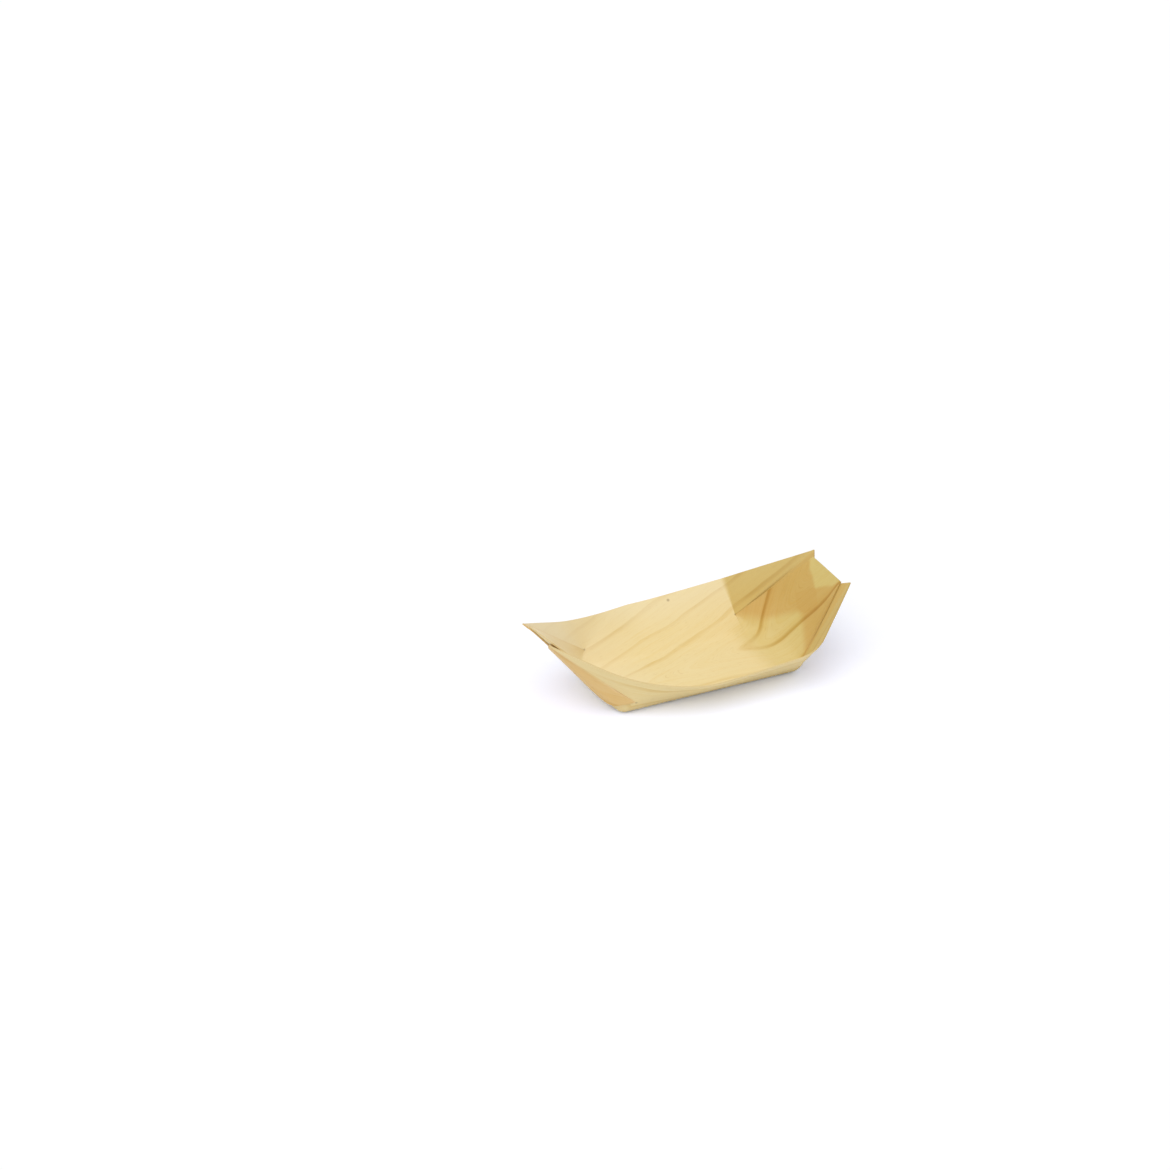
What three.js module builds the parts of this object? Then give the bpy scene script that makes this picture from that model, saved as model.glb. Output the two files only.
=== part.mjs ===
// Snack boat of thin pine veneer: one slit sheet, bent to a trough and lapped and glued at both ends.
// Millimetres. +X runs to the stern, +Y to starboard, +Z up; the origin is under the middle of the floor.
import * as THREE from 'three';

// Driving dimensions of the sheet and the trough
const LENGTH = 172;               // overall, from the bow horns to the stern horns
const VENEER = 0.7;               // thickness of the sheet
const SHEET_WIDTH = 108;          // rim to rim, measured along the sheet
const FLOOR_WIDTH = 41;           // flat part of the floor
const CHINE_RADIUS = 7;           // bend between floor and side
const SIDE_LOW = -12;             // place along X where the sides lie flattest
const SIDE_ANGLE = 37.5;          // slope of the sides there, degrees
const SIDE_ONSET = 1.2;           // how late the sides change towards the ends; 1 is evenly all the way

// Slits and flaps, the same at both ends
const SLIT_ROOT = 34;             // middle line to slit root, measured along the sheet
const SLIT_SETBACK = 6;           // slit root to the middle of the end fold, towards amidships
const SLIT_GAP = 0.6;             // width of the slit
const ROOT_CLEAR = 1.8;           // a flap bends this much further out than the end panel, at its root
const ROOT_BEND = 1;              // length of bend either side of the end fold, at the slit root
const ROOT_HOLE = 2.5;            // opening that the slit leaves at its root
const FLAP_ANGLE = 40;            // angle of a flap at its slit root, degrees
const SETTLE = 6;                 // how soon a flap comes to lie flat on the panel, away from its root
const HORN_PROUD = 3;             // horn tip above the top edge, along the panel

// Stern end, the wide one
const STERN_SIDE_ANGLE = 43.5;    // slope of the sides at the end fold, degrees
const STERN_TAPER = 0;            // the rim comes in this much on the sheet by the end fold
const STERN_REACH = 28.3;         // end fold to top edge, along X
const STERN_RISE = 41;            // floor to top edge of the end panel
const STERN_TOP_WIDTH = 30;       // top edge of the end panel
const STERN_HORN_SPACING = 40.5;  // horn tip to horn tip
const STERN_FOLD_BEND = 9;        // length of bend either side of the end fold, on the middle line
const STERN_CREASE_BEND = 2.5;    // length of bend either side of a side crease, at the rim
const STERN_STARBOARD_LEAN = 0;   // the side crease leans this much towards amidships at the rim
const STERN_PORT_LEAN = -2.5;
const STERN_FOLD_SKEW = 4.5;      // the end fold lies this much further out to port than to starboard
const STERN_TOP_SKEW = 0;         // the same for the top edge

// Bow end, the narrow one
const BOW_SIDE_ANGLE = 54;
const BOW_TAPER = 6.5;
const BOW_REACH = 32.5;
const BOW_RISE = 41.5;
const BOW_TOP_WIDTH = 20;
const BOW_HORN_SPACING = 25;
const BOW_FOLD_BEND = 4;
const BOW_CREASE_BEND = 26;
const BOW_STARBOARD_LEAN = 2;
const BOW_PORT_LEAN = 2;
const BOW_FOLD_SKEW = 0;
const BOW_TOP_SKEW = -3;

// Clearances and glue
const FOLD_GAP = 0.3;             // clearance where two panels meet at a fold
const PLY_GAP = 0.55;             // clearance between lapped plies, which the glue lies in
const GLUE_FILM = 0.15;           // thickness of a glue film
const GLUE_LENGTH = 11;           // glue film along the panel
const GLUE_WIDTH = 9;             // glue film across the panel
const GLUE_PLACE = 0.62;          // middle of a glue film, as a share of the way up the panel
const GLUE_ASIDE = 9;             // inner glue film to the middle line

// Facets
const TROUGH_STEPS = 14;
const PANEL_STEPS = 24;
const BEND_STEPS = 6;
const STRAIGHT_STEPS = 6;
const EAR_STEPS = 20;
const RAY_STEPS = 12;

const PINE = { color: 0xe6cf95, roughness: 0.62, metalness: 0 };
const PINE_FLAP = { color: 0xdcc185, roughness: 0.65, metalness: 0 };
const GLUE = { color: 0xd9c08a, roughness: 0.35, metalness: 0 };

const radians = THREE.MathUtils.degToRad;
const mix = THREE.MathUtils.lerp;
const clamp = THREE.MathUtils.clamp;
const point = (x, y, z) => new THREE.Vector3(x, y, z);
const between = (a, b, share) => a.clone().lerp(b, share);
const steps = (count) => Array.from({ length: count + 1 }, (_, i) => i / count);
const turned = (lines) => lines[0].map((_, i) => lines.map((line) => line[i]));

const HALF_FLOOR = FLOOR_WIDTH / 2;
const MIDDLE_PLY = VENEER / 2;
const LAP = VENEER + PLY_GAP;
const PORT = -1;
const STARBOARD = 1;

const STERN = {
  name: 'stern', side: 1, innerFlap: PORT, sideAngle: STERN_SIDE_ANGLE, taper: STERN_TAPER,
  reach: STERN_REACH, rise: STERN_RISE, halfTop: STERN_TOP_WIDTH / 2, halfHorns: STERN_HORN_SPACING / 2,
  foldBend: STERN_FOLD_BEND, creaseBend: STERN_CREASE_BEND, starboardLean: STERN_STARBOARD_LEAN,
  portLean: STERN_PORT_LEAN, foldSkew: STERN_FOLD_SKEW, topSkew: STERN_TOP_SKEW,
};
const BOW = {
  name: 'bow', side: -1, innerFlap: STARBOARD, sideAngle: BOW_SIDE_ANGLE, taper: BOW_TAPER,
  reach: BOW_REACH, rise: BOW_RISE, halfTop: BOW_TOP_WIDTH / 2, halfHorns: BOW_HORN_SPACING / 2,
  foldBend: BOW_FOLD_BEND, creaseBend: BOW_CREASE_BEND, starboardLean: BOW_STARBOARD_LEAN,
  portLean: BOW_PORT_LEAN, foldSkew: BOW_FOLD_SKEW, topSkew: BOW_TOP_SKEW,
};

// Places along the boat, taken outwards from amidships. q runs across an end panel, from PORT to STARBOARD
const panelLength = (end) => Math.hypot(end.reach, end.rise);
const hornReach = (end) => end.reach * (1 + HORN_PROUD / panelLength(end));
const lapReach = (end) => 2 * LAP * end.rise / panelLength(end);
const foldPlace = (end) => LENGTH / 2 - hornReach(end) - lapReach(end) - Math.abs(end.topSkew) / 2;
const foldLine = (end, q) => foldPlace(end) - SLIT_SETBACK * q ** 4 - end.foldSkew * q / 2;
const topLine = (end, q) => foldPlace(end) + end.reach - end.topSkew * q / 2;
const leanOf = (end, hand) => (hand === STARBOARD ? end.starboardLean : end.portLean);
const creasePlace = (end, hand) => foldLine(end, hand) - leanOf(end, hand);

// The end fold is a soft bend in the middle and a tighter one at the slit roots
const foldBend = (end, q) => mix(end.foldBend, ROOT_BEND, q * q);
const panelStart = (end, q) => foldLine(end, q) - foldBend(end, q);

// Where a flap leaves the side, from its slit root (0) to the rim (1), and the clearance there along X
const flapStart = (end, hand, share) => mix(
  foldLine(end, hand) + ROOT_CLEAR, creasePlace(end, hand) - end.creaseBend, share,
);
function flapGap(end, hand) {
  const slant = flapStart(end, hand, 0) - flapStart(end, hand, 1);
  return FOLD_GAP * Math.hypot(1, slant / (SHEET_WIDTH / 2 - end.taper - SLIT_ROOT));
}

// How far the sides at x have changed, from where they lie flattest (0) to the end fold (1)
const endOf = (x) => (x < SIDE_LOW ? BOW : STERN);
function sideChange(x) {
  const end = endOf(x);
  const share = (x - SIDE_LOW) / (end.side * (foldPlace(end) - SLIT_SETBACK) - SIDE_LOW);
  return Math.min(share, 1) ** SIDE_ONSET;
}
const rimAcross = (x) => SHEET_WIDTH / 2 - endOf(x).taper * sideChange(x);

// The trough: a point of the sheet's middle layer, x along the boat, v along the sheet from the middle line
function troughPoint(x, v) {
  const slope = radians(mix(SIDE_ANGLE, endOf(x).sideAngle, sideChange(x)));
  const across = Math.abs(v);
  const turn = clamp((across - HALF_FLOOR) / CHINE_RADIUS, 0, slope);
  const straight = Math.max(across - HALF_FLOOR - CHINE_RADIUS * slope, 0);
  const y = Math.min(across, HALF_FLOOR) + CHINE_RADIUS * Math.sin(turn) + straight * Math.cos(slope);
  const z = MIDDLE_PLY + CHINE_RADIUS * (1 - Math.cos(turn)) + straight * Math.sin(slope);
  return point(x, Math.sign(v) * y, z);
}
const foldPoint = (end, q) => troughPoint(end.side * foldLine(end, q), q * SLIT_ROOT);
const topPoint = (end, q) => point(end.side * topLine(end, q), q * end.halfTop, MIDDLE_PLY + end.rise);

// A point of a side, from the height of its slit roots (0) to the rim (1)
function sidePoint(x, hand, share) {
  return troughPoint(x, hand * mix(SLIT_ROOT, rimAcross(x), share));
}

// A place on the end panel's middle layer: a across and b up the panel, as on the flat sheet
function panelPlace(end, a, b) {
  const t = b / panelLength(end);
  const half = mix(SLIT_ROOT, end.halfTop, t);
  const q = clamp(a / half, PORT, STARBOARD);
  const place = between(foldPoint(end, q), topPoint(end, q), t);
  place.y += a - q * half;
  return place;
}
// The same place on a layer that lies outside the panel by offset
function lapPlace(end, a, b, offset) {
  const nudge = VENEER;
  const across = panelPlace(end, a + nudge, b).sub(panelPlace(end, a - nudge, b));
  const up = panelPlace(end, a, b + nudge).sub(panelPlace(end, a, b - nudge));
  const outwards = across.cross(up).normalize();
  if (outwards.x * end.side < 0) outwards.negate();
  return panelPlace(end, a, b).addScaledVector(outwards, offset);
}

// A closed plate of even thickness round a grid of middle-layer points
function plate(rows, thickness) {
  const last = rows.length - 1;
  const wide = rows[0].length;
  const normalAt = (i, j) => {
    const along = rows[Math.min(i + 1, last)][j].clone().sub(rows[Math.max(i - 1, 0)][j]);
    const across = rows[i][Math.min(j + 1, wide - 1)].clone().sub(rows[i][Math.max(j - 1, 0)]);
    return along.cross(across).normalize();
  };
  const positions = [];
  for (const half of [thickness / 2, -thickness / 2]) {
    rows.forEach((row, i) => row.forEach((p, j) => {
      const q = p.clone().addScaledVector(normalAt(i, j), half);
      positions.push(q.x, q.y, q.z);
    }));
  }
  const under = rows.length * wide;
  const faces = [];
  const quad = (a, b, c, d) => faces.push(a, b, c, a, c, d);
  for (let i = 0; i < last; i += 1) {
    for (let j = 0; j < wide - 1; j += 1) {
      const a = i * wide + j;
      quad(a, a + wide, a + wide + 1, a + 1);
      quad(under + a, under + a + 1, under + a + wide + 1, under + a + wide);
    }
  }
  const edge = [];
  for (let i = 0; i < last; i += 1) edge.push(i * wide);
  for (let j = 0; j < wide - 1; j += 1) edge.push(last * wide + j);
  for (let i = last; i > 0; i -= 1) edge.push(i * wide + wide - 1);
  for (let j = wide - 1; j > 0; j -= 1) edge.push(j);
  edge.forEach((a, k) => {
    const b = edge[(k + 1) % edge.length];
    quad(b, a, under + a, under + b);
  });
  const geometry = new THREE.BufferGeometry();
  geometry.setAttribute('position', new THREE.Float32BufferAttribute(positions, 3));
  geometry.setIndex(faces);
  geometry.computeVertexNormals();
  return geometry;
}

// Floor and sides: lines from bow to stern, one beside the other from rim to rim
function floorLine(v) {
  const q = v / SLIT_ROOT;
  const [bow, stern] = [BOW, STERN].map((end) => end.side * (panelStart(end, q) - FOLD_GAP));
  return steps(TROUGH_STEPS).map((s) => troughPoint(mix(bow, stern, s), v));
}
function sideLine(hand, share) {
  const stopAt = (end) => end.side * (flapStart(end, hand, share) - flapGap(end, hand));
  const [bow, stern] = [BOW, STERN].map(stopAt);
  return steps(TROUGH_STEPS).map((s) => sidePoint(mix(bow, stern, s), hand, share));
}
function makeTrough() {
  const chine = CHINE_RADIUS * radians(Math.max(SIDE_ANGLE, STERN_SIDE_ANGLE, BOW_SIDE_ANGLE));
  const bend = steps(STRAIGHT_STEPS).map((s) => HALF_FLOOR + chine * s);
  const half = [HALF_FLOOR / 2, ...bend, SLIT_ROOT - SLIT_GAP];
  const floor = [...half.map((v) => -v).reverse(), 0, ...half].map(floorLine);
  const port = steps(RAY_STEPS).map((s) => sideLine(PORT, 1 - s));
  const starboard = steps(RAY_STEPS).map((s) => sideLine(STARBOARD, s));
  return plate(turned([...port, ...floor, ...starboard]), VENEER);
}

// End panel: lines from the floor, round the fold and up to the top edge
function makeEndPanel(end) {
  const edge = 1 - SLIT_GAP / SLIT_ROOT;
  const lines = steps(PANEL_STEPS).map((s) => {
    const q = mix(-edge, edge, s);
    const fold = foldPoint(end, q);
    const top = topPoint(end, q);
    const bend = foldBend(end, q);
    const start = fold.clone().setX(end.side * panelStart(end, q));
    const finish = between(fold, top, bend / fold.distanceTo(top));
    const curve = new THREE.QuadraticBezierCurve3(start, fold, finish);
    const straight = steps(STRAIGHT_STEPS).slice(1).map((t) => between(finish, top, t));
    return [...curve.getPoints(BEND_STEPS), ...straight];
  });
  return plate(turned(lines), VENEER);
}

// Corner flap: rays from its slit root, from the side crease round to the horn, then over the end panel
function makeFlap(end, hand) {
  const plies = hand === end.innerFlap ? 1 : 2;
  const offset = plies * LAP;
  const sideAt = (x, share) => sidePoint(end.side * x, hand, share);
  const leave = (share) => sideAt(flapStart(end, hand, share), share);
  const root = leave(0);
  const rimStart = leave(1);
  const rimCrease = sideAt(creasePlace(end, hand), 1);
  const hornUp = panelLength(end) + HORN_PROUD;
  const horn = lapPlace(end, hand * end.halfHorns, hornUp, offset);
  const rimFinish = between(rimCrease, horn, end.creaseBend / rimCrease.distanceTo(horn));
  const bend = new THREE.QuadraticBezierCurve3(rimStart, rimCrease, rimFinish).getPoints(BEND_STEPS);
  const straight = steps(STRAIGHT_STEPS).slice(1).map((s) => between(rimFinish, horn, s));
  const reach = steps(RAY_STEPS).map((s) => mix(ROOT_HOLE / root.distanceTo(horn), 1, s));
  const facet = [...bend, ...straight].map((rim, k) => reach.map((w) => {
    const fromRay = leave(w).sub(between(root, rimStart, w));
    const fade = Math.max(1 - k / BEND_STEPS, 0) ** 2;
    return between(root, rim, w).addScaledVector(fromRay, fade);
  }));

  const hornLean = Math.atan2(SLIT_ROOT - end.halfHorns, hornUp);
  const tipLean = hornLean + radians(FLAP_ANGLE);
  const slitLength = Math.hypot(SLIT_ROOT - end.halfTop, panelLength(end));
  const tipAcross = SLIT_ROOT - slitLength * Math.sin(tipLean);
  const tipUp = slitLength * Math.cos(tipLean);
  const settle = root.clone().sub(lapPlace(end, hand * SLIT_ROOT, 0, offset));
  const ear = steps(EAR_STEPS).slice(1).map((s) => reach.map((w) => {
    const a = mix(SLIT_ROOT, mix(end.halfHorns, tipAcross, s), w);
    const b = mix(hornUp, tipUp, s) * w;
    return lapPlace(end, hand * a, b, offset).addScaledVector(settle, (1 - w) ** SETTLE);
  }));
  return plate([...facet, ...ear], VENEER);
}

// Glue film between two plies, its middle at a across the panel and at GLUE_PLACE up it
function makeGlue(end, a, offset) {
  const middle = GLUE_PLACE * panelLength(end);
  const around = steps(STRAIGHT_STEPS).map((s) => s - 1 / 2);
  const rows = around.map((s) => around.map((t) => lapPlace(
    end, a + GLUE_WIDTH * t, middle + GLUE_LENGTH * s, offset,
  )));
  return plate(rows, GLUE_FILM);
}

const boat = new THREE.Group();
function add(name, geometry, finish) {
  const mesh = new THREE.Mesh(geometry, new THREE.MeshStandardMaterial(finish));
  mesh.name = name;
  boat.add(mesh);
}
add('floor_and_sides', makeTrough(), PINE);
for (const end of [BOW, STERN]) {
  add(`${end.name}_end_panel`, makeEndPanel(end), PINE);
  add(`${end.name}_starboard_flap`, makeFlap(end, STARBOARD), PINE_FLAP);
  add(`${end.name}_port_flap`, makeFlap(end, PORT), PINE_FLAP);
  add(`${end.name}_panel_glue`, makeGlue(end, end.innerFlap * GLUE_ASIDE, LAP / 2), GLUE);
  add(`${end.name}_lap_glue`, makeGlue(end, 0, 3 * LAP / 2), GLUE);
}

export default boat;
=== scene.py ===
import math
from types import SimpleNamespace

import bpy
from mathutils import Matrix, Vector, noise


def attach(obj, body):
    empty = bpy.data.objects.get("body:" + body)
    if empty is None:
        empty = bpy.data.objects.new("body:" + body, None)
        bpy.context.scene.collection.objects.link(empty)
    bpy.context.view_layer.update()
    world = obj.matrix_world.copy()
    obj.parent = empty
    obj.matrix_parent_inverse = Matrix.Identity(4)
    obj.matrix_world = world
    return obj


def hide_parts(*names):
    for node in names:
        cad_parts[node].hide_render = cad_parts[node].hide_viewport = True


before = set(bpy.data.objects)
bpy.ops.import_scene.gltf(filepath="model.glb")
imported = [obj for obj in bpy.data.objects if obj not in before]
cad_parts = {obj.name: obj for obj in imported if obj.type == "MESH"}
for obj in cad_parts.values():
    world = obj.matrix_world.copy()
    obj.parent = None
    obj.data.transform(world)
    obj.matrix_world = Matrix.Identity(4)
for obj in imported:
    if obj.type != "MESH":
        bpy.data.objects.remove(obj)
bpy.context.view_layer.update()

# Sizes of the sheet and its folds in millimetres. They are the solids' own, apart from the sheet's width,
# the place where the sides lie flattest, the soft change there, and the stern's taper and port bend, which
# follow the look of the rim more closely
PORT, STARBOARD = -1, 1
LENGTH = 172            # over the horns
VENEER = 0.7            # thickness of the sheet
SHEET_WIDTH = 107       # rim to rim, along the sheet
HALF_FLOOR = 20.5       # flat part of the floor, to each side
CHINE_RADIUS = 7        # bend between floor and side
SIDE_LOW = -6           # place along the boat where the sides lie flattest
SIDE_ANGLE = 37.5       # slope of the sides there, in degrees
LOW_ROUND = 0.25        # how softly they change from there, as a share of the way to an end
SLIT_ROOT = 34          # middle line to slit root, along the sheet
SLIT_SETBACK = 6        # slit root to the middle of the end fold, towards amidships
FLAP_ANGLE = 40         # angle of a flap at its slit root, in degrees
HORN_PROUD = 3          # horn tip above the top edge, along the panel
PLY_STACK = 2.5         # end panel to outer flap in the solids, which is part of the length
MIDDLE_PLY = VENEER / 2
RIM_STEP = 1            # short way back along the rim that gives its direction

# Finer than the solids: the slits are hairlines, and the laps lie close on their glue
SLIT_GAP = 0.08         # width of a slit
ROOT_CLEAR = 0.06       # a flap bends this much further out than the end panel, at its root
ROOT_BEND = 0.2         # length of bend either side of the end fold, at the slit root
ROOT_HOLE = 0.08        # opening that a slit leaves at its root
SETTLE = 6              # how soon a flap comes to lie flat on the panel, away from its root
GLUE_FILM = 0.12
LAP = VENEER + GLUE_FILM

# The dab of glue in a lap
GLUE_PLACE = 0.62       # its middle, as a share of the way up the panel
GLUE_ASIDE = 9          # the inner dab to the middle line
HALF_GLUE_WIDTH, HALF_GLUE_LENGTH = 4.8, 5.6
GLUE_ROUND = 0.5        # how far its corners are rounded off
GLUE_RAGGED = 0.12      # how ragged its outline is, as a share of its size
RAGGED_WAVES = 2.2

# Thin wood is never quite flat: how far it strays, over what length, the slices of noise that give the three
# directions, and the heights between which the sheet comes free of the table
UNEVEN = 0.22
UNEVEN_LENGTH = 38
UNEVEN_SLICES = (0, 31.7, 64.3)
UNEVEN_HEIGHTS = (1, 12)

# Each panel's own grid, and the shares of it that the bends take up
TROUGH_GRID = (160, 120)
PANEL_GRID = (150, 100)
FLAP_GRID = (96, 60)
GLUE_GRID = (12, 12)
FLOOR_SHARE = 0.6
BEND_SHARE = 0.45
FACET_SHARE = 0.5
CREASE_SHARE = 0.25
ROUNDING = 1e-6
SMOOTH_ANGLE = 40

# Painted shade that the panels carry: where plies behind the sheet let less light through, with edges that
# the veneer blurs, and at the shaded stern; the runs are in millimetres on the flat sheet
PLY_BLUR = 1.0
LOWER_BLUR = 3 * PLY_BLUR
FACET_BLUR = 0.03       # share of a flap's grid
FLAP_SHADE_SHARE = 0.5        # a stern flap takes half the painted shade before it meets the panel
LEAST_UP = 0.01
FLOOR_SHADE, FLOOR_SHADE_RUN = 0.6, (36, 52)
PANEL_SHADE, PANEL_SHADE_RUN = 0.4, (54, 84)
FLOOR_SHADE_SIDE = (24, 34)


def end_of_boat(name, side, inner_flap, side_angle, taper, reach, rise, top_width, horn_spacing,
                fold_bend, starboard_bend, port_bend, starboard_lean, port_lean, fold_skew, top_skew,
                ply_shade_strength):
    """One end of the boat, with the place of its fold worked out from the overall length."""
    length = math.hypot(reach, rise)
    out = reach * (1 + HORN_PROUD / length) + PLY_STACK * rise / length + abs(top_skew) / 2
    return SimpleNamespace(
        name=name, side=side, inner_flap=inner_flap, side_angle=side_angle, taper=taper, rise=rise,
        reach=reach, half_top=top_width / 2, half_horns=horn_spacing / 2, fold_bend=fold_bend,
        crease_bend={STARBOARD: starboard_bend, PORT: port_bend},
        lean={STARBOARD: starboard_lean, PORT: port_lean},
        fold_skew=fold_skew, top_skew=top_skew, ply_shade_strength=ply_shade_strength, length=length, fold=LENGTH / 2 - out)


STERN = end_of_boat(
    "stern", side=1, inner_flap=PORT, side_angle=43.5, taper=-1.4, reach=28.3, rise=41, top_width=30,
    horn_spacing=40.5, fold_bend=9, starboard_bend=2.5, port_bend=10, starboard_lean=0, port_lean=-2.5,
    fold_skew=4.5, top_skew=0, ply_shade_strength=1)
BOW = end_of_boat(
    "bow", side=-1, inner_flap=STARBOARD, side_angle=54, taper=6.5, reach=32.5, rise=41.5, top_width=20,
    horn_spacing=25, fold_bend=4, starboard_bend=26, port_bend=26, starboard_lean=2, port_lean=2,
    fold_skew=0, top_skew=-3, ply_shade_strength=0.12)


def mix(a, b, share):
    return a + (b - a) * share


def clamp(x, low, high):
    return max(low, min(high, x))


def ease(low, high, x):
    """0 up to low, 1 from high on, and a soft rise between."""
    share = clamp((x - low) / (high - low), 0, 1)
    return share * share * (3 - 2 * share)


def bent(a, b, c, share):
    """A point on the soft bend from a to c round the corner b."""
    return a.lerp(b, share).lerp(b.lerp(c, share), share)


# Where the folds and creases lie, outwards from amidships; q runs from -1 at the port slit root to 1 at the
# starboard one
def fold_line(end, q):
    return end.fold - SLIT_SETBACK * q ** 4 - end.fold_skew * q / 2


def fold_bend(end, q):
    return mix(end.fold_bend, ROOT_BEND, q * q)


def panel_start(end, q):
    return fold_line(end, q) - fold_bend(end, q)


def crease_place(end, hand):
    return fold_line(end, hand) - end.lean[hand]


def flap_start(end, hand, share):
    return mix(fold_line(end, hand) + ROOT_CLEAR, crease_place(end, hand) - end.crease_bend[hand], share)


# The trough
def end_at(x):
    return BOW if x < SIDE_LOW else STERN


def side_change(x):
    """How far the sides have gone over from their flattest place (0) to an end's own shape (1)."""
    end = end_at(x)
    share = min((x - SIDE_LOW) / (end.side * (end.fold - SLIT_SETBACK) - SIDE_LOW), 1)
    return (math.hypot(share, LOW_ROUND) - LOW_ROUND) / (math.hypot(1, LOW_ROUND) - LOW_ROUND)


def side_across(x, share):
    """Place on the sheet from the height of the slit roots (0) to the rim (1)."""
    rim = SHEET_WIDTH / 2 - end_at(x).taper * side_change(x)
    return mix(SLIT_ROOT, rim, share)


def trough_point(x, v):
    """A place on the floor or a side, x along the boat and v across the flat sheet."""
    slope = math.radians(mix(SIDE_ANGLE, end_at(x).side_angle, side_change(x)))
    across = abs(v)
    turn = clamp((across - HALF_FLOOR) / CHINE_RADIUS, 0, slope)
    straight = max(across - HALF_FLOOR - CHINE_RADIUS * slope, 0)
    y = min(across, HALF_FLOOR) + CHINE_RADIUS * math.sin(turn) + straight * math.cos(slope)
    z = MIDDLE_PLY + CHINE_RADIUS * (1 - math.cos(turn)) + straight * math.sin(slope)
    return Vector((x, math.copysign(y, v), z))


# The end panels, and the layers that lie on them
def fold_point(end, q):
    return trough_point(end.side * fold_line(end, q), q * SLIT_ROOT)


def top_point(end, q):
    x = end.fold + end.reach - end.top_skew * q / 2
    return Vector((end.side * x, q * end.half_top, MIDDLE_PLY + end.rise))


def panel_place(end, a, b):
    """A place on the end panel, a across it and b up it on the flat sheet."""
    t = b / end.length
    half = mix(SLIT_ROOT, end.half_top, t)
    q = clamp(a / half, -1, 1)
    place = fold_point(end, q).lerp(top_point(end, q), t)
    place.y += a - q * half
    return place


def lap_place(end, a, b, offset):
    """The same place on a layer outside the panel."""
    across = panel_place(end, a + VENEER, b) - panel_place(end, a - VENEER, b)
    up = panel_place(end, a, b + VENEER) - panel_place(end, a, b - VENEER)
    outwards = across.cross(up).normalized()
    if outwards.x * end.side < 0:
        outwards.negate()
    return panel_place(end, a, b) + outwards * offset


def ear_of(end):
    """A flap's lap on the end panel: the places of its horn and tip, and how far its lower edge leans in."""
    horn = (end.half_horns, end.length + HORN_PROUD)
    slit = math.hypot(SLIT_ROOT - end.half_top, end.length)
    tip_lean = math.atan2(SLIT_ROOT - horn[0], horn[1]) + math.radians(FLAP_ANGLE)
    tip = (SLIT_ROOT - slit * math.sin(tip_lean), slit * math.cos(tip_lean))
    return SimpleNamespace(horn=horn, tip=tip, tip_lean=tip_lean)


def lapped(end, hand, a, b):
    """How surely a flap lies behind this place of the end panel, softened as light in the veneer is."""
    ear = ear_of(end)
    lean = math.atan2(SLIT_ROOT - hand * a, max(b, LEAST_UP))
    away = math.hypot(SLIT_ROOT - hand * a, b)
    lower = (ear.tip_lean - lean) * away
    edge_run = Vector((ear.tip[0] - ear.horn[0], ear.tip[1] - ear.horn[1])).normalized()
    from_horn = Vector((hand * a - ear.horn[0], b - ear.horn[1]))
    inside = edge_run.x * from_horn.y - edge_run.y * from_horn.x
    return ease(-LOWER_BLUR, LOWER_BLUR, lower) * ease(-PLY_BLUR, PLY_BLUR, inside)


# Grain: the sheet is sliced near the heart of the log, so the growth lines run as long nested arches
# that open towards the stern; sizes in millimetres on the flat sheet
HEART = 11.5                            # middle of the arches, to starboard of the middle line
HEART_LEAN = 0.19                       # how fast it drifts over to port, towards the bow
ARCH_ROUND = 6                          # how round the arches are at their tops
CLIMB, STERN_CLIMB = 0.19, 0.21         # how fast the arches open, and what the stern adds to that
SIDE_CLIMB, SIDE_CLIMB_RUN = 0.35, (29, 37)     # the share of it that is left at the sides
TURNING, TURNING_LENGTH = 50, 10        # where the stern's part begins, and how softly
WAVERS = ((50, 22, 2.2, 3.1), (18, 10, 1.3, 8.4))     # length, width, depth and slice of noise of each
GROWTH_LINES = (-60, -40, -21, 8, 28.5, 43, 57, 71, 84, 99)
LINE_REACH = 14                         # width of the warm band inside each line
LINE_STOP, LINE_FADE = 0.05, 0.9        # share of a line's band that its outer edge takes, and its width


def soft_ramp(x):
    """0 far below 0 and x far above it, with a rounded turn between."""
    return (x + math.hypot(x, TURNING_LENGTH)) / 2


def grain_at(s, t):
    """How far a place of the flat sheet lies from the heart, and where that is between growth lines."""
    heart = HEART - HEART_LEAN * soft_ramp(TURNING - s)
    stern_climb = STERN_CLIMB * soft_ramp(s - TURNING) * mix(1, SIDE_CLIMB, ease(*SIDE_CLIMB_RUN, abs(t)))
    climb = CLIMB * (s - TURNING) + stern_climb
    waver = sum(noise.noise(Vector((s / length, t / width, cut))) * depth
                for length, width, depth, cut in WAVERS)
    away = math.hypot(ARCH_ROUND, t - heart) - climb + waver
    line = max(i for i, place in enumerate(GROWTH_LINES) if place <= max(away, GROWTH_LINES[0]))
    line = min(line, len(GROWTH_LINES) - 2)
    past, ahead = away - GROWTH_LINES[line], GROWTH_LINES[line + 1] - away
    plain = LINE_STOP * clamp(past / LINE_FADE, 0, 1)
    return away, line + max(1 - ahead / min(past + ahead, LINE_REACH), plain)


# The panels on their own grids: each gives a point, its place on the flat sheet, and how much painted shade
# it takes from the plies behind it and from the stern
def place_floor_and_sides(along, across):
    across = 2 * across - 1
    hand = STARBOARD if across > 0 else PORT
    if abs(across) <= FLOOR_SHARE + ROUNDING:
        v = across / FLOOR_SHARE * SLIT_ROOT
        x = mix(-panel_start(BOW, v / SLIT_ROOT), panel_start(STERN, v / SLIT_ROOT), along)
    else:
        share = (abs(across) - FLOOR_SHARE) / (1 - FLOOR_SHARE)
        x = mix(-flap_start(BOW, hand, share), flap_start(STERN, hand, share), along)
        v = hand * side_across(x, share)
    # Painted shade on the floor as it nears the stern fold, fading out up the sides
    stern_shade = FLOOR_SHADE * ease(*FLOOR_SHADE_RUN, x) * (1 - ease(*FLOOR_SHADE_SIDE, abs(v)))
    return trough_point(x, v), (x, v), 0, stern_shade


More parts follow.
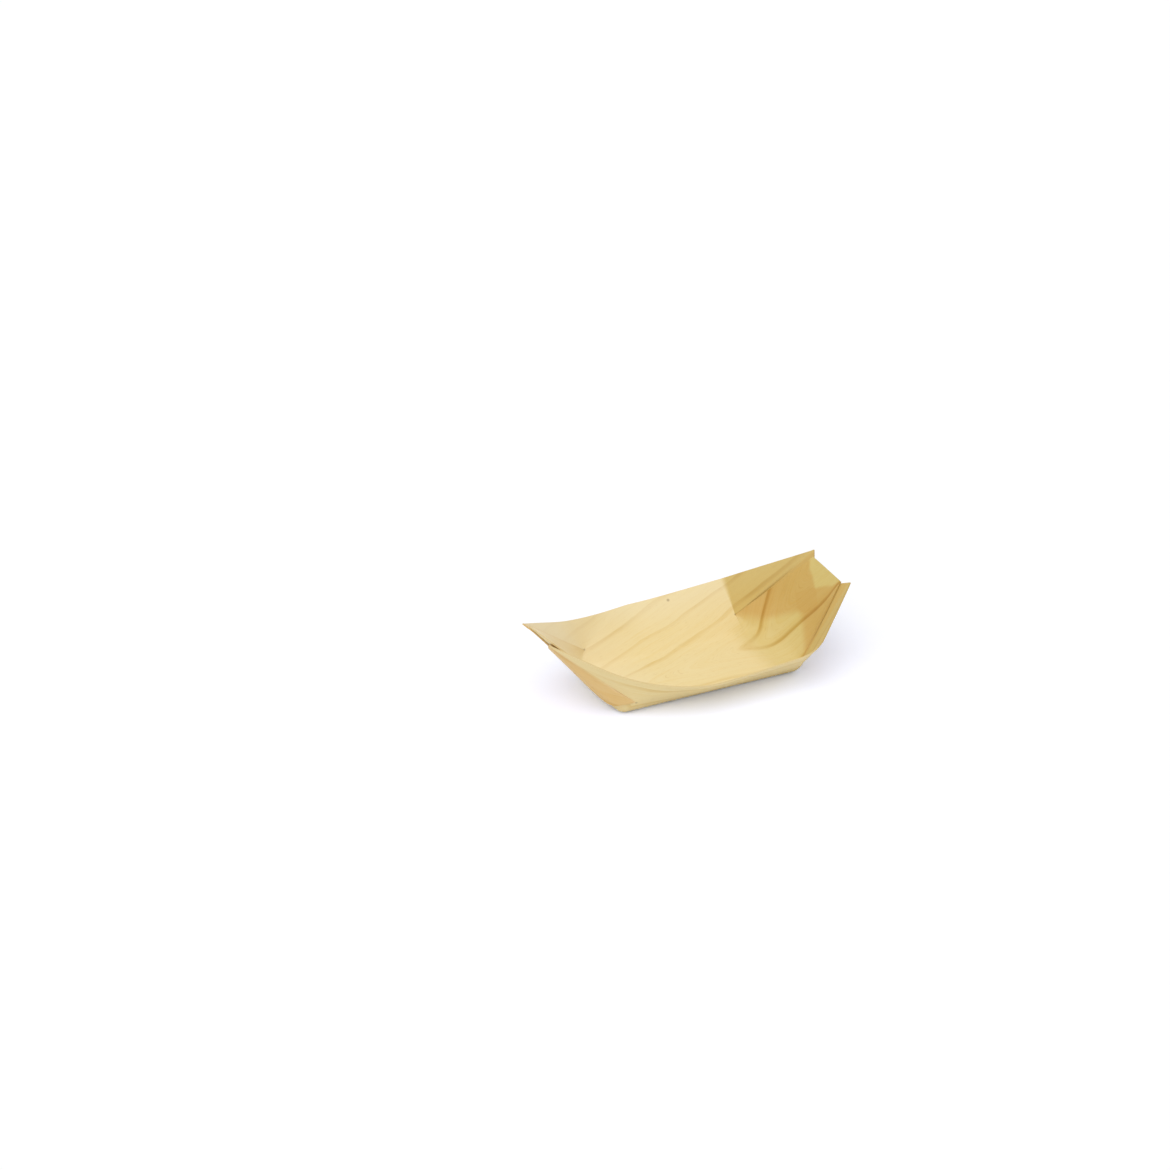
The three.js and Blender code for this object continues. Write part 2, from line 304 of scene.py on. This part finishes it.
def end_panel_placer(end):
    def place(across, up):
        q = (2 * across - 1) * (1 - SLIT_GAP / SLIT_ROOT)
        fold, top, bend = fold_point(end, q), top_point(end, q), fold_bend(end, q)
        length = (top - fold).length
        if up <= BEND_SHARE:
            b = mix(-bend, bend, up / BEND_SHARE)
            start = Vector((end.side * panel_start(end, q), fold.y, fold.z))
            point = bent(start, fold, fold.lerp(top, bend / length), up / BEND_SHARE)
        else:
            b = mix(bend, length, (up - BEND_SHARE) / (1 - BEND_SHARE))
            point = fold.lerp(top, b / length)
        a = q * mix(SLIT_ROOT, end.half_top, max(b, 0) / length)
        # Painted shade: redder where the flaps lie behind the panel, and deeper towards the stern
        ply_shade = (lapped(end, PORT, a, b) + lapped(end, STARBOARD, a, b)) * end.ply_shade_strength
        s = end.side * (fold_line(end, q) + b)
        stern_shade = FLOOR_SHADE * ease(*FLOOR_SHADE_RUN, s) + PANEL_SHADE * ease(*PANEL_SHADE_RUN, s)
        return point, (s, a), ply_shade, stern_shade
    return place


def flap_placer(end, hand):
    """A flap turns about its slit root: first round the crease at the side, then flat onto the panel."""
    offset = LAP * (1 if hand == end.inner_flap else 2)
    ear = ear_of(end)

    def side_point(x, share):
        return trough_point(end.side * x, hand * side_across(end.side * x, share))

    def leave(share):
        return side_point(flap_start(end, hand, share), share)

    root, rim_start = leave(0), leave(1)
    rim_before = side_point(flap_start(end, hand, 1) - RIM_STEP, 1)
    rim_crease = rim_start + (rim_start - rim_before) / RIM_STEP * end.crease_bend[hand]
    horn = lap_place(end, hand * ear.horn[0], ear.horn[1], offset)
    rim_finish = rim_crease.lerp(horn, end.crease_bend[hand] / (horn - rim_crease).length)
    settle = root - lap_place(end, hand * SLIT_ROOT, 0, offset)
    least = ROOT_HOLE / (horn - root).length

    def point_at(turn, out):
        way = mix(least, 1, out)
        if turn <= FACET_SHARE:
            bend = turn / CREASE_SHARE
            if bend <= 1:
                rim = bent(rim_start, rim_crease, rim_finish, bend)
            else:
                rim = rim_finish.lerp(horn, (turn - CREASE_SHARE) / (FACET_SHARE - CREASE_SHARE))
            follow_side = leave(way) - root.lerp(rim_start, way)
            return root.lerp(rim, way) + follow_side * max(1 - bend, 0) ** 2
        share = (turn - FACET_SHARE) / (1 - FACET_SHARE)
        a = mix(SLIT_ROOT, mix(ear.horn[0], ear.tip[0], share), way)
        b = mix(ear.horn[1], ear.tip[1], share) * way
        return lap_place(end, hand * a, b, offset) + settle * (1 - way) ** SETTLE

    # On the flat sheet the flap's lines fan out from the root, and the first of them lies on the crease
    x0, x1 = flap_start(end, hand, 0), flap_start(end, hand, 1)
    flat_rim = side_across(end.side * x1, 1)
    flat_start = Vector((x1 - x0, flat_rim - SLIT_ROOT))
    stretch = flat_start.length / (rim_start - root).length
    leans = [math.atan2(flat_start.y, flat_start.x)]
    for step in range(FLAP_GRID[0]):
        line, next_line = [point_at(k / FLAP_GRID[0], 1) - root for k in (step, step + 1)]
        leans.append(leans[-1] - next_line.angle(line))

    def place(turn, out):
        point, way = point_at(turn, out), mix(least, 1, out)
        lean = leans[round(turn * FLAP_GRID[0])]
        away = (point_at(turn, 1) - root).length * way * stretch
        along, across = away * math.cos(lean), SLIT_ROOT + away * math.sin(lean)
        taper = side_across(end.side * mix(x0, x1, way), way) - mix(SLIT_ROOT, flat_rim, way)
        across += taper * max(1 - turn / CREASE_SHARE, 0) ** 2
        flat = (end.side * (x0 + along), hand * across)
        # Painted shade on a stern flap as it turns in past the crease, half as deep before it meets the
        # panel
        stern_shade = ease(0, CREASE_SHARE, turn) if end is STERN else 0
        ply_shade = max(ease(FACET_SHARE - FACET_BLUR, FACET_SHARE + FACET_BLUR, turn), FLAP_SHADE_SHARE * stern_shade)
        return point, flat, ply_shade, stern_shade
    return place


def glue_placer(end, aside, offset):
    def place(across, up):
        x, y = 2 * across - 1, 2 * up - 1
        ragged = 1 + GLUE_RAGGED * noise.noise(
            Vector((RAGGED_WAVES * x, RAGGED_WAVES * y, offset + end.side)))
        a = aside + HALF_GLUE_WIDTH * x * math.sqrt(1 - GLUE_ROUND * y * y) * ragged
        b = GLUE_PLACE * end.length + HALF_GLUE_LENGTH * y * math.sqrt(1 - GLUE_ROUND * x * x) * ragged
        return lap_place(end, a, b, offset), (a, HALF_GLUE_LENGTH * y), 0, 0
    return place


def linear(hex_colour):
    """A colour written as sRGB hex, as the linear values that a shader takes."""
    shares = [int(hex_colour[i:i + 2], 16) / 255 for i in (1, 3, 5)]
    return tuple(c / 12.92 if c <= 0.04045 else ((c + 0.055) / 1.055) ** 2.4 for c in shares) + (1,)


def add_node(tree, kind, inputs=None, **settings):
    """Adds a node with its settings; an input takes a value, or another node's output to link."""
    node = tree.nodes.new(kind)
    for name, value in settings.items():
        setattr(node, name, value)
    for key, value in (inputs or {}).items():
        if isinstance(value, bpy.types.NodeSocket):
            tree.links.new(value, node.inputs[key])
        else:
            node.inputs[key].default_value = value
    return node


def new_material(name):
    """An empty material with the material's node tree and its shader."""
    material = bpy.data.materials.new(name)
    material.use_nodes = True
    tree = material.node_tree
    return material, tree, tree.nodes["Principled BSDF"]


# Sliced pine veneer, unfinished: pale yellow earlywood, soft growth lines that warm slowly and stop short,
# fine fibre streaks and a dull silky face; painted shade, redder where more plies lie behind the thin sheet
# and deeper at the stern, and painted light on the inner face at the bow and along the rims
EARLYWOOD = "#edd9a2"
WARM_WOOD = "#e9cf8a"
LATEWOOD = "#cba44e"
# Painted light on the upward inner face at the bow and along the rims
BOW_PAINTED_LIGHT = "#f1e4c2"
# Painted shade: the stern's darker colour, and the redder colour where plies lie behind the sheet
STERN_PAINTED_SHADE = "#e4e0b9"
LAPPED_PAINTED_SHADE, LAPPED_SHADE_SHARE = "#f4dfc4", 0.85
# The pin knot's colour, also used for the painted shade in the opening where each slit ends
KNOT_AND_SLIT_SHADE = "#6f4c28"

# Length and width in millimetres, and the detail and roughness of the noise. Pine fibres are about 3 mm long
# and 0.03 mm wide and resin canals about 0.2 mm wide, too fine to show, so both are drawn coarser here
FIBRE = (24, 0.6, 4, 0.65)
CANAL = (4, 0.3, 0, 0.5)
PATCH = (45, 8, 1, 0.5)
FIBRE_RELIEF = 0.05
FINE_SPACING = 4.8      # of the faint growth lines between the strong ones

# Parts of the way from one growth line to the next over which its tones rise, and how strong they are: from
# poor to rich patches of the sheet, and what the stern adds on its panel and on its flaps
WARM_RISE, DARK_RISE, FINE_RISE = (0.6, 0.95), (0.8, 0.97), (0.4, 0.95)
PATCH_STRENGTH = (0.06, 0.36)
STERN_STRENGTH, PANEL_EDGE_RUN = (0.6, 0.25), (34, 42)
STERN_RUN = (46, 60)
FINE_WARMTH = 0.2
FIBRE_WARMTH = (-0.2, 0.4)
CANAL_DARK = 0.2
FIBRE_DULL = (0.55, 0.7)

# Parts of each noise that show
PATCH_SHOWN, FIBRE_SHOWN, CANAL_SHOWN, DULL_SHOWN = (0.3, 0.7), (0.3, 0.7), (0.66, 0.76), (0.3, 0.75)

# Where painted light makes the inner face paler, along and across the flat sheet in millimetres
BOW_LIGHT, BOW_LIGHT_RUN = 0.75, (-10, -65)
RIM_LIGHT, RIM_LIGHT_RUN = 0.35, (34, 50)
INNER_FACE = (-0.2, 0.2)

# Dark spots: the place on the flat sheet, the radii of the core and of the whole spot, and how dark it is.
# One is a pin knot in the starboard side; the others are painted shade in the small opening where each slit
# ends
DARK_SPOTS = [((13, 50.5, 0), 0.2, 1.1, 0.55)] + [
    ((end.side * fold_line(end, hand), hand * SLIT_ROOT, 0), 0.2, 0.9, 0.4)
    for end in (BOW, STERN) for hand in (PORT, STARBOARD)]


def sheet_places(tree):
    """Two places: on the flat sheet, with its painted shade from the plies behind it, and in the grain, with
    the stern's painted shade.
    """
    return [
        add_node(tree, "ShaderNodeSeparateXYZ", {
            0: add_node(tree, "ShaderNodeAttribute", attribute_name=name).outputs["Vector"]}).outputs
        for name in ("flat_sheet", "growth")]


def with_painted_shade(tree, colour, stern_shade, ply_shade):
    """Painted shade: deeper at the stern, and redder where more plies lie behind the sheet and let less
    light through.
    """
    stern_shaded_wood = add_node(tree, "ShaderNodeMix", {
        "Factor": stern_shade, "A": colour, "B": linear(STERN_PAINTED_SHADE)}, data_type="RGBA", blend_type="MULTIPLY")
    ply_shade_share = add_node(tree, "ShaderNodeMath", {
        0: ply_shade, 1: LAPPED_SHADE_SHARE}, operation="MULTIPLY", use_clamp=True)
    shaded_wood = add_node(tree, "ShaderNodeMix", {
        "Factor": ply_shade_share.outputs[0], "A": stern_shaded_wood.outputs["Result"], "B": linear(LAPPED_PAINTED_SHADE)},
        data_type="RGBA", blend_type="MULTIPLY")
    return shaded_wood.outputs["Result"]


def pine_veneer():
    material, tree, shader = new_material("pine_veneer")
    (along, across, ply_shade), (away, line_place, stern_shade) = sheet_places(tree)
    from_middle = add_node(tree, "ShaderNodeMath", {0: across}, operation="ABSOLUTE").outputs[0]
    grain = add_node(tree, "ShaderNodeCombineXYZ", {0: along, 1: away}).outputs[0]
    patterns = []
    for length, width, detail, roughness in (FIBRE, CANAL, PATCH):
        place = add_node(tree, "ShaderNodeVectorMath", {
            0: grain, 1: (1 / length, 1 / width, 0)}, operation="MULTIPLY")
        pattern = add_node(tree, "ShaderNodeTexNoise", {
            "Vector": place.outputs[0], "Scale": 1, "Detail": detail, "Roughness": roughness})
        patterns.append(pattern.outputs[0])
    fibre, canal, patch = patterns

    # Strong growth lines, each with a warm band on its inner side, and finer ones between
    share = add_node(tree, "ShaderNodeMath", {0: line_place}, operation="FRACT").outputs[0]
    warm_rise = add_node(tree, "ShaderNodeMapRange", {
        "Value": share, "From Min": WARM_RISE[0], "From Max": WARM_RISE[1]}, interpolation_type="SMOOTHSTEP")
    dark_rise = add_node(tree, "ShaderNodeMapRange", {
        "Value": share, "From Min": DARK_RISE[0], "From Max": DARK_RISE[1]}, interpolation_type="SMOOTHSTEP")
    stop = add_node(tree, "ShaderNodeMapRange", {
        "Value": share, "From Min": 0, "From Max": LINE_STOP, "To Min": 1, "To Max": 0},
        interpolation_type="SMOOTHSTEP")
    warm = add_node(tree, "ShaderNodeMath", {
        0: warm_rise.outputs[0], 1: stop.outputs[0]}, operation="MAXIMUM")
    dark = add_node(tree, "ShaderNodeMath", {
        0: dark_rise.outputs[0], 1: stop.outputs[0]}, operation="MAXIMUM")
    fine_place = add_node(tree, "ShaderNodeMath", {0: away, 1: FINE_SPACING}, operation="DIVIDE")
    fine_share = add_node(tree, "ShaderNodeMath", {0: fine_place.outputs[0]}, operation="FRACT")
    fine = add_node(tree, "ShaderNodeMapRange", {
        "Value": fine_share.outputs[0], "From Min": FINE_RISE[0], "From Max": FINE_RISE[1]},
        interpolation_type="SMOOTHSTEP")

    # The lines are faint and patchy on most of the sheet and strong at the stern
    stern = add_node(tree, "ShaderNodeMapRange", {
        "Value": along, "From Min": STERN_RUN[0], "From Max": STERN_RUN[1]}, interpolation_type="SMOOTHSTEP")
    patchy = add_node(tree, "ShaderNodeMapRange", {
        "Value": patch, "From Min": PATCH_SHOWN[0], "From Max": PATCH_SHOWN[1],
        "To Min": PATCH_STRENGTH[0], "To Max": PATCH_STRENGTH[1]})
    stern_share = add_node(tree, "ShaderNodeMapRange", {
        "Value": from_middle, "From Min": PANEL_EDGE_RUN[0], "From Max": PANEL_EDGE_RUN[1],
        "To Min": STERN_STRENGTH[0], "To Max": STERN_STRENGTH[1]})
    strength = add_node(tree, "ShaderNodeMath", {
        0: stern.outputs[0], 1: stern_share.outputs[0], 2: patchy.outputs[0]}, operation="MULTIPLY_ADD")

    streak = add_node(tree, "ShaderNodeMapRange", {
        "Value": fibre, "From Min": FIBRE_SHOWN[0], "From Max": FIBRE_SHOWN[1],
        "To Min": FIBRE_WARMTH[0], "To Max": FIBRE_WARMTH[1]})
    fine_warm = add_node(tree, "ShaderNodeMath", {
        0: fine.outputs[0], 1: FINE_WARMTH, 2: streak.outputs[0]}, operation="MULTIPLY_ADD")
    warm_tone = add_node(tree, "ShaderNodeMath", {
        0: warm.outputs[0], 1: strength.outputs[0], 2: fine_warm.outputs[0]},
        operation="MULTIPLY_ADD", use_clamp=True)
    dash = add_node(tree, "ShaderNodeMapRange", {
        "Value": canal, "From Min": CANAL_SHOWN[0], "From Max": CANAL_SHOWN[1],
        "To Min": 0, "To Max": CANAL_DARK})
    dark_tone = add_node(tree, "ShaderNodeMath", {
        0: dark.outputs[0], 1: strength.outputs[0], 2: dash.outputs[0]},
        operation="MULTIPLY_ADD", use_clamp=True)
    warmed = add_node(tree, "ShaderNodeMix", {
        "Factor": warm_tone.outputs[0], "A": linear(EARLYWOOD), "B": linear(WARM_WOOD)}, data_type="RGBA")
    wood = add_node(tree, "ShaderNodeMix", {
        "Factor": dark_tone.outputs[0], "A": warmed.outputs["Result"], "B": linear(LATEWOOD)},
        data_type="RGBA")

    # Painted light makes the upward inner face paler at the bow and along its rims, and painted shade makes
    # the sheet deeper at the stern and where more plies behind it let less light through
    bow = add_node(tree, "ShaderNodeMapRange", {
        "Value": along, "From Min": BOW_LIGHT_RUN[0], "From Max": BOW_LIGHT_RUN[1],
        "To Min": 0, "To Max": BOW_LIGHT})
    side = add_node(tree, "ShaderNodeMapRange", {
        "Value": from_middle, "From Min": RIM_LIGHT_RUN[0], "From Max": RIM_LIGHT_RUN[1],
        "To Min": 0, "To Max": RIM_LIGHT})
    lit_place = add_node(tree, "ShaderNodeMath", {
        0: bow.outputs[0], 1: side.outputs[0]}, operation="MAXIMUM")
    facing = add_node(tree, "ShaderNodeTexCoord").outputs["Normal"]
    inner_face = add_node(tree, "ShaderNodeMapRange", {
        "Value": add_node(tree, "ShaderNodeSeparateXYZ", {0: facing}).outputs["Z"],
        "From Min": INNER_FACE[0], "From Max": INNER_FACE[1]})
    painted_light = add_node(tree, "ShaderNodeMath", {
        0: lit_place.outputs[0], 1: inner_face.outputs[0]}, operation="MULTIPLY")
    lit_wood = add_node(tree, "ShaderNodeMix", {
        "Factor": painted_light.outputs[0], "A": wood.outputs["Result"], "B": linear(BOW_PAINTED_LIGHT)}, data_type="RGBA")
    shaded_wood = with_painted_shade(tree, lit_wood.outputs["Result"], stern_shade, ply_shade)

    # A real pin knot, and painted shade in the opening where each slit ends
    sheet_place = add_node(tree, "ShaderNodeCombineXYZ", {0: along, 1: across})
    darkest = 0
    for middle, core, radius, depth in DARK_SPOTS:
        distance = add_node(tree, "ShaderNodeVectorMath", {
            0: sheet_place.outputs[0], 1: middle}, operation="DISTANCE")
        spot = add_node(tree, "ShaderNodeMapRange", {
            "Value": distance.outputs["Value"], "From Min": core, "From Max": radius,
            "To Min": depth, "To Max": 0})
        darkest = add_node(tree, "ShaderNodeMath", {
            0: darkest, 1: spot.outputs[0]}, operation="MAXIMUM").outputs[0]
    spotted = add_node(tree, "ShaderNodeMix", {
        "Factor": darkest, "A": shaded_wood, "B": linear(KNOT_AND_SLIT_SHADE)}, data_type="RGBA")
    tree.links.new(spotted.outputs["Result"], shader.inputs["Base Color"])

    dull = add_node(tree, "ShaderNodeMapRange", {
        "Value": fibre, "From Min": DULL_SHOWN[0], "From Max": DULL_SHOWN[1],
        "To Min": FIBRE_DULL[0], "To Max": FIBRE_DULL[1]})
    tree.links.new(dull.outputs[0], shader.inputs["Roughness"])
    shader.inputs["IOR"].default_value = 1.5
    relief = add_node(tree, "ShaderNodeBump", {
        "Height": fibre, "Distance": FIBRE_RELIEF / 1000, "Strength": 1})
    tree.links.new(relief.outputs[0], shader.inputs["Normal"])
    return material


# The knife-cut edge of the sheet: paler than its face, with the fibre ends as a fleck. They are 0.03 mm
# wide, too fine to show, so the fleck is drawn coarser
EDGE_PALE, EDGE_FLECK = "#e8d39c", "#d0b67e"
FLECK_SIZE = 0.5


def pine_cut_edge():
    material, tree, shader = new_material("pine_cut_edge")
    (_, _, ply_shade), (_, _, stern_shade) = sheet_places(tree)
    place = add_node(tree, "ShaderNodeTexCoord")
    fleck = add_node(tree, "ShaderNodeTexNoise", {
        "Vector": place.outputs["Object"], "Scale": 1000 / FLECK_SIZE, "Detail": 2})
    colour = add_node(tree, "ShaderNodeMix", {
        "Factor": fleck.outputs[0], "A": linear(EDGE_PALE), "B": linear(EDGE_FLECK)}, data_type="RGBA")
    # The edge takes the same painted shade as the faces, from the stern and the plies behind
    tree.links.new(with_painted_shade(tree, colour.outputs["Result"], stern_shade, ply_shade), shader.inputs["Base Color"])
    shader.inputs["Roughness"].default_value = 0.75
    return material


# Dried water-based wood glue: a thin, clear amber film with a soft shine
GLUE_AMBER = "#dcc48e"


def dried_glue():
    material, _, shader = new_material("dried_glue_film")
    shader.inputs["Base Color"].default_value = linear(GLUE_AMBER)
    shader.inputs["Roughness"].default_value = 0.3
    shader.inputs["IOR"].default_value = 1.47
    return material


def settle_unevenly(point):
    """A slow stray of the sheet that leaves the floor where it stands."""
    stray = Vector([noise.noise(point / UNEVEN_LENGTH + Vector((0, 0, cut))) for cut in UNEVEN_SLICES])
    return point + stray * (UNEVEN * ease(*UNEVEN_HEIGHTS, point.z))


def bend_sheet(name, grid, place, materials, thickness):
    """Lays out a flat grid, takes each of its points to its place and gives the sheet its thickness."""
    bpy.ops.object.select_all(action="DESELECT")
    bpy.ops.mesh.primitive_grid_add(x_subdivisions=grid[0], y_subdivisions=grid[1], size=1)
    piece = bpy.context.object
    piece.name = piece.data.name = name
    mesh = piece.data
    flat_sheet = mesh.attributes.new("flat_sheet", "FLOAT_VECTOR", "POINT")
    growth = mesh.attributes.new("growth", "FLOAT_VECTOR", "POINT")
    for i, vertex in enumerate(mesh.vertices):
        point, flat, ply_shade, stern_shade = place(vertex.co.x + 0.5, vertex.co.y + 0.5)
        vertex.co = settle_unevenly(point) / 1000
        # The painted shade from the plies and from the stern rides in the third value of each attribute
        flat_sheet.data[i].vector = (*flat, ply_shade)
        growth.data[i].vector = (*grain_at(*flat), stern_shade)
    for material in materials:
        mesh.materials.append(material)
    solidify = piece.modifiers.new("veneer", "SOLIDIFY")
    solidify.thickness = thickness / 1000
    solidify.offset = 0
    solidify.material_offset_rim = len(materials) - 1
    bpy.ops.object.modifier_apply(modifier=solidify.name)
    bpy.ops.object.shade_smooth_by_angle(angle=math.radians(SMOOTH_ANGLE))
    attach(piece, "root")
    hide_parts(name.removesuffix("_sheet").removesuffix("_film"))
    return piece


veneer, cut_edge, glue = pine_veneer(), pine_cut_edge(), dried_glue()
faces_and_edge = [veneer, cut_edge]
trough = bend_sheet("floor_and_sides_sheet", TROUGH_GRID, place_floor_and_sides, faces_and_edge, VENEER)
for end in (BOW, STERN):
    panel = bend_sheet(
        end.name + "_end_panel_sheet", PANEL_GRID, end_panel_placer(end), faces_and_edge, VENEER)
    for hand, side_name in ((STARBOARD, "starboard"), (PORT, "port")):
        flap = bend_sheet(
            f"{end.name}_{side_name}_flap_sheet", FLAP_GRID, flap_placer(end, hand), faces_and_edge, VENEER)
    for lap, aside, laps_out in (("panel", GLUE_ASIDE, 0.5), ("lap", 0, 1.5)):
        film = bend_sheet(
            f"{end.name}_{lap}_glue_film", GLUE_GRID,
            glue_placer(end, end.inner_flap * aside, LAP * laps_out), [glue], GLUE_FILM)


# A white table top that keeps the boat's shadow, lifted and cooled a little where the boat stands close
TABLE_SIZE = 14
TABLE_WHITE, TABLE_GREY = "#ffffff", "#f2f2f2"
COOL_SHADOW, SHADOW_LIFT = "#d1ddff", 2.08
SHADOW_REACH = 80


def seen_share(tree):
    """1 for what the camera sees straight, in a shine or through a clear piece, and 0 for light."""
    light_path = add_node(tree, "ShaderNodeLightPath").outputs
    straight_or_shine = add_node(tree, "ShaderNodeMath", {
        0: light_path["Is Camera Ray"], 1: light_path["Is Glossy Ray"]}, operation="MAXIMUM")
    seen = add_node(tree, "ShaderNodeMath", {
        0: straight_or_shine.outputs[0], 1: light_path["Is Transmission Ray"]}, operation="MAXIMUM")
    return seen.outputs[0]


bpy.ops.object.select_all(action="DESELECT")
bpy.ops.mesh.primitive_plane_add(size=TABLE_SIZE)
table = bpy.context.object
table.name = "white_table"
table_paint, tree, shader = new_material("white_table_paint")
under_boat = add_node(tree, "ShaderNodeAmbientOcclusion", {"Distance": SHADOW_REACH / 1000}, samples=2)
lifted_shadow = tuple(SHADOW_LIFT * c for c in linear(COOL_SHADOW)[:3]) + (1,)
shadowed = add_node(tree, "ShaderNodeMix", {
    "Factor": under_boat.outputs["AO"], "A": lifted_shadow, "B": linear(TABLE_WHITE)}, data_type="RGBA")
paint = add_node(tree, "ShaderNodeMix", {
    "Factor": seen_share(tree), "A": linear(TABLE_GREY), "B": shadowed.outputs["Result"]}, data_type="RGBA")
tree.links.new(paint.outputs["Result"], shader.inputs["Base Color"])
shader.inputs["Roughness"].default_value = 0.9
shader.inputs["Specular IOR Level"].default_value = 0
table.data.materials.append(table_paint)

# Soft, slightly cool light from all round, and a broad warm lamp high in front on the left
SKY_LIGHT, SKY_SEEN = "#f8fafe", "#ffffff"
SKY_LEVEL = 0.79
LAMP_LIGHT, LAMP_LEVEL = "#fffaf2", 0.95
LAMP_SPREAD = 55
LAMP_TRAVELS = Vector((0.3, 0.32, -0.9))

scene = bpy.context.scene
scene.view_settings.view_transform = "Standard"
world = bpy.data.worlds.new("white_studio")
world.use_nodes = True
scene.world = world
tree = world.node_tree
background = tree.nodes["Background"]
seen = seen_share(tree)
level = add_node(tree, "ShaderNodeMapRange", {"Value": seen, "To Min": SKY_LEVEL, "To Max": 1})
sky = add_node(tree, "ShaderNodeMix", {
    "Factor": seen, "A": linear(SKY_LIGHT), "B": linear(SKY_SEEN)}, data_type="RGBA")
tree.links.new(sky.outputs["Result"], background.inputs["Color"])
tree.links.new(level.outputs[0], background.inputs["Strength"])

bpy.ops.object.select_all(action="DESELECT")
bpy.ops.object.light_add(type="SUN")
lamp = bpy.context.object
lamp.name = "broad_lamp"
lamp.data.energy = LAMP_LEVEL
lamp.data.color = linear(LAMP_LIGHT)[:3]
lamp.data.angle = math.radians(LAMP_SPREAD)
lamp.rotation_euler = LAMP_TRAVELS.to_track_quat("-Z", "Y").to_euler()

# The camera, fitted to the rims, folds and bottom edge of the boat in the picture
AZIMUTH, ELEVATION = math.radians(27.1), math.radians(29.3)
DISTANCE = 2700
PIXELS_PER_MM = 1.953
IMAGE_SIDE = 1170
BOAT_PIXEL = (684.6, 672.4)
SENSOR = 36
FURTHEST_SEEN = 100

ahead = Vector((math.sin(AZIMUTH) * math.cos(ELEVATION), math.cos(AZIMUTH) * math.cos(ELEVATION),
                -math.sin(ELEVATION)))
right = Vector((math.cos(AZIMUTH), -math.sin(AZIMUTH), 0))
up = right.cross(ahead)
aim = (right * (IMAGE_SIDE / 2 - BOAT_PIXEL[0]) + up * (BOAT_PIXEL[1] - IMAGE_SIDE / 2)) / PIXELS_PER_MM
eye = ahead * -DISTANCE
bpy.ops.object.select_all(action="DESELECT")
bpy.ops.object.camera_add(location=eye / 1000)
camera = bpy.context.object
camera.name = "picture_camera"
camera.rotation_euler = (aim - eye).to_track_quat("-Z", "Y").to_euler()
camera.data.sensor_width = SENSOR
camera.data.lens = SENSOR * PIXELS_PER_MM * DISTANCE / IMAGE_SIDE
camera.data.clip_end = FURTHEST_SEEN
scene.camera = camera
